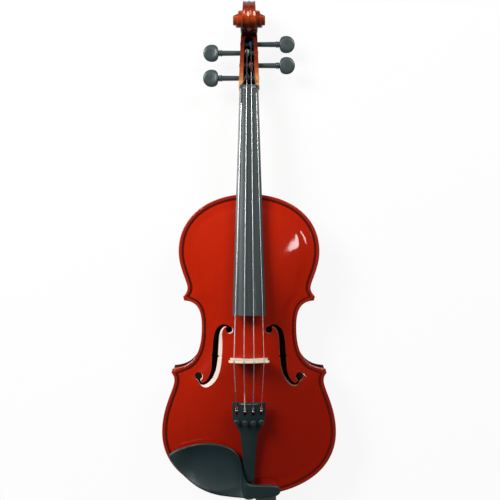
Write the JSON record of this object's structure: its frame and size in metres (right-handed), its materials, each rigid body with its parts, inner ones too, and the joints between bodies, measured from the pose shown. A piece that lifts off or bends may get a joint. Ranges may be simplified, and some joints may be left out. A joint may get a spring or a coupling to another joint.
{
  "type": "viola",
  "caption": "Bowed string instrument lying on its back, with arched body, scroll head, bridge, tailpiece with built-in tuners and side-mounted chin rest.",
  "frame": {"origin": "middle of the footprint, at the lowest point of the back's arch, which rests on the table", "axes": "+Y from the tail to the scroll, +Z out of the belly, +X to the treble side"},
  "size_m": [0.234, 0.6822, 0.1093],
  "materials": {
    "varnished_spruce": "glossy orange-red spirit varnish over quarter-sawn spruce, darker toward the treble lower bout",
    "varnished_maple": "glossy red-brown varnish over figured maple",
    "bare_spruce": "unvarnished spruce",
    "black_fittings": "blackened hardwood with a low polish",
    "bare_maple": "pale unvarnished maple",
    "black_composite": "black moulded composite, satin",
    "string_wire": "flat-wound metal string",
    "nickel_plate": "nickel-plated small metal parts",
    "cork": "pressed cork sheet",
    "nylon_cord": "black nylon tail cord"
  },
  "bodies": {
    "body": {"top_plate": "varnished_spruce", "back_plate": "varnished_maple", "rib_lower_bass": "varnished_maple", "rib_waist_bass": "varnished_maple", "rib_upper_bass": "varnished_maple", "rib_lower_treble": "varnished_maple", "rib_waist_treble": "varnished_maple", "rib_upper_treble": "varnished_maple", "lower_corner_block_bass": "bare_spruce", "upper_corner_block_bass": "bare_spruce", "lower_corner_block_treble": "bare_spruce", "upper_corner_block_treble": "bare_spruce", "bottom_block": "bare_spruce", "top_block": "bare_spruce", "bass_bar": "bare_spruce", "sound_post": "bare_spruce", "bridge": "bare_maple", "saddle": "black_fittings", "neck_and_scroll": "varnished_maple", "fingerboard": "black_fittings", "nut": "black_fittings", "tailpiece": "black_composite", "tailpiece_fret": "nickel_plate", "tuner_axle": "nickel_plate", "string_c": "string_wire", "string_g": "string_wire", "string_d": "string_wire", "string_a": "string_wire", "end_button": "black_fittings", "tailgut": "nylon_cord", "chinrest_plate": "black_composite", "cork_upper_bass": "cork", "cork_upper_treble": "cork", "chinrest_clamp_tab": "nickel_plate"},
    "peg_c": {"peg_c": "black_fittings", "winding_c": "string_wire"},
    "tuner_screw_c": {"tuner_screw_c": "nickel_plate"},
    "tuner_knob_c": {"tuner_knob_c": "nickel_plate"},
    "tuner_lever_c": {"tuner_lever_c": "nickel_plate"},
    "peg_g": {"peg_g": "black_fittings", "winding_g": "string_wire"},
    "tuner_screw_g": {"tuner_screw_g": "nickel_plate"},
    "tuner_knob_g": {"tuner_knob_g": "nickel_plate"},
    "tuner_lever_g": {"tuner_lever_g": "nickel_plate"},
    "peg_d": {"peg_d": "black_fittings", "winding_d": "string_wire"},
    "tuner_screw_d": {"tuner_screw_d": "nickel_plate"},
    "tuner_knob_d": {"tuner_knob_d": "nickel_plate"},
    "tuner_lever_d": {"tuner_lever_d": "nickel_plate"},
    "peg_a": {"peg_a": "black_fittings", "winding_a": "string_wire"},
    "tuner_screw_a": {"tuner_screw_a": "nickel_plate"},
    "tuner_knob_a": {"tuner_knob_a": "nickel_plate"},
    "tuner_lever_a": {"tuner_lever_a": "nickel_plate"},
    "chinrest_barrel_1": {"chinrest_barrel_1": "nickel_plate"},
    "chinrest_barrel_2": {"chinrest_barrel_2": "nickel_plate"},
    "chinrest_bracket": {"chinrest_bracket": "nickel_plate", "cork_lower": "cork"}
  },
  "joints": [
    {"name": "peg_c_turn", "type": "hinge", "parent": "body", "child": "peg_c", "pos_m": [0, 0.2351, 0.03328], "axis": [-1, 0, 0], "continuous": true},
    {"name": "peg_g_turn", "type": "hinge", "parent": "body", "child": "peg_g", "pos_m": [0, 0.271, 0.02587], "axis": [-1, 0, 0], "continuous": true},
    {"name": "peg_d_turn", "type": "hinge", "parent": "body", "child": "peg_d", "pos_m": [0, 0.2836, 0.02327], "axis": [1, 0, 0], "continuous": true},
    {"name": "peg_a_turn", "type": "hinge", "parent": "body", "child": "peg_a", "pos_m": [0, 0.2532, 0.02954], "axis": [1, 0, 0], "continuous": true},
    {"name": "tuner_screw_c_slide", "type": "slide", "parent": "body", "child": "tuner_screw_c", "axis": [0, 0.2282, -0.9736], "range_m": [0, 0.003]},
    {"name": "tuner_knob_c_turn", "type": "hinge", "parent": "tuner_screw_c", "child": "tuner_knob_c", "pos_m": [-0.01625, -0.22508, 0.09018], "axis": [0, 0.2282, -0.9736], "range_deg": [0, 2160]},
    {"name": "tuner_lever_c_swing", "type": "hinge", "parent": "body", "child": "tuner_lever_c", "pos_m": [-0.01625, -0.21257, 0.08285], "axis": [1, 0, 0], "range_deg": [0, 16.5]},
    {"name": "tuner_screw_g_slide", "type": "slide", "parent": "body", "child": "tuner_screw_g", "axis": [0, 0.2282, -0.9736], "range_m": [0, 0.003]},
    {"name": "tuner_knob_g_turn", "type": "hinge", "parent": "tuner_screw_g", "child": "tuner_knob_g", "pos_m": [-0.00542, -0.22571, 0.09288], "axis": [0, 0.2282, -0.9736], "range_deg": [0, 2160]},
    {"name": "tuner_lever_g_swing", "type": "hinge", "parent": "body", "child": "tuner_lever_g", "pos_m": [-0.00542, -0.21257, 0.08285], "axis": [1, 0, 0], "range_deg": [0, 16.5]},
    {"name": "tuner_screw_d_slide", "type": "slide", "parent": "body", "child": "tuner_screw_d", "axis": [0, 0.2282, -0.9736], "range_m": [0, 0.003]},
    {"name": "tuner_knob_d_turn", "type": "hinge", "parent": "tuner_screw_d", "child": "tuner_knob_d", "pos_m": [0.00542, -0.22571, 0.09288], "axis": [0, 0.2282, -0.9736], "range_deg": [0, 2160]},
    {"name": "tuner_lever_d_swing", "type": "hinge", "parent": "body", "child": "tuner_lever_d", "pos_m": [0.00542, -0.21257, 0.08285], "axis": [1, 0, 0], "range_deg": [0, 16.5]},
    {"name": "tuner_screw_a_slide", "type": "slide", "parent": "body", "child": "tuner_screw_a", "axis": [0, 0.2282, -0.9736], "range_m": [0, 0.003]},
    {"name": "tuner_knob_a_turn", "type": "hinge", "parent": "tuner_screw_a", "child": "tuner_knob_a", "pos_m": [0.01625, -0.22508, 0.09018], "axis": [0, 0.2282, -0.9736], "range_deg": [0, 2160]},
    {"name": "tuner_lever_a_swing", "type": "hinge", "parent": "body", "child": "tuner_lever_a", "pos_m": [0.01625, -0.21257, 0.08285], "axis": [1, 0, 0], "range_deg": [0, 16.5]},
    {"name": "chinrest_bracket_slide", "type": "slide", "parent": "body", "child": "chinrest_bracket", "axis": [0, 0, -1], "range_m": [0, 0.0048]},
    {"name": "chinrest_barrel_1_turn", "type": "hinge", "parent": "body", "child": "chinrest_barrel_1", "pos_m": [0.011, -0.33467, 0.0355], "axis": [0, 0, 1], "range_deg": [0, 2160]},
    {"name": "chinrest_barrel_2_turn", "type": "hinge", "parent": "body", "child": "chinrest_barrel_2", "pos_m": [0.034, -0.33467, 0.0355], "axis": [0, 0, 1], "range_deg": [0, 2160]}
  ],
  "couplings": [
    {"joint": "tuner_knob_c_turn", "follows": "tuner_screw_c_slide", "rad_per_m": 12566},
    {"joint": "tuner_lever_c_swing", "follows": "tuner_screw_c_slide", "rad_per_m": 95.2},
    {"joint": "tuner_knob_g_turn", "follows": "tuner_screw_g_slide", "rad_per_m": 12566},
    {"joint": "tuner_lever_g_swing", "follows": "tuner_screw_g_slide", "rad_per_m": 95.2},
    {"joint": "tuner_knob_d_turn", "follows": "tuner_screw_d_slide", "rad_per_m": 12566},
    {"joint": "tuner_lever_d_swing", "follows": "tuner_screw_d_slide", "rad_per_m": 95.2},
    {"joint": "tuner_knob_a_turn", "follows": "tuner_screw_a_slide", "rad_per_m": 12566},
    {"joint": "tuner_lever_a_swing", "follows": "tuner_screw_a_slide", "rad_per_m": 95.2},
    {"joint": "chinrest_barrel_1_turn", "follows": "chinrest_bracket_slide", "rad_per_m": 7853.9},
    {"joint": "chinrest_barrel_2_turn", "follows": "chinrest_bracket_slide", "rad_per_m": 7853.9}
  ]
}
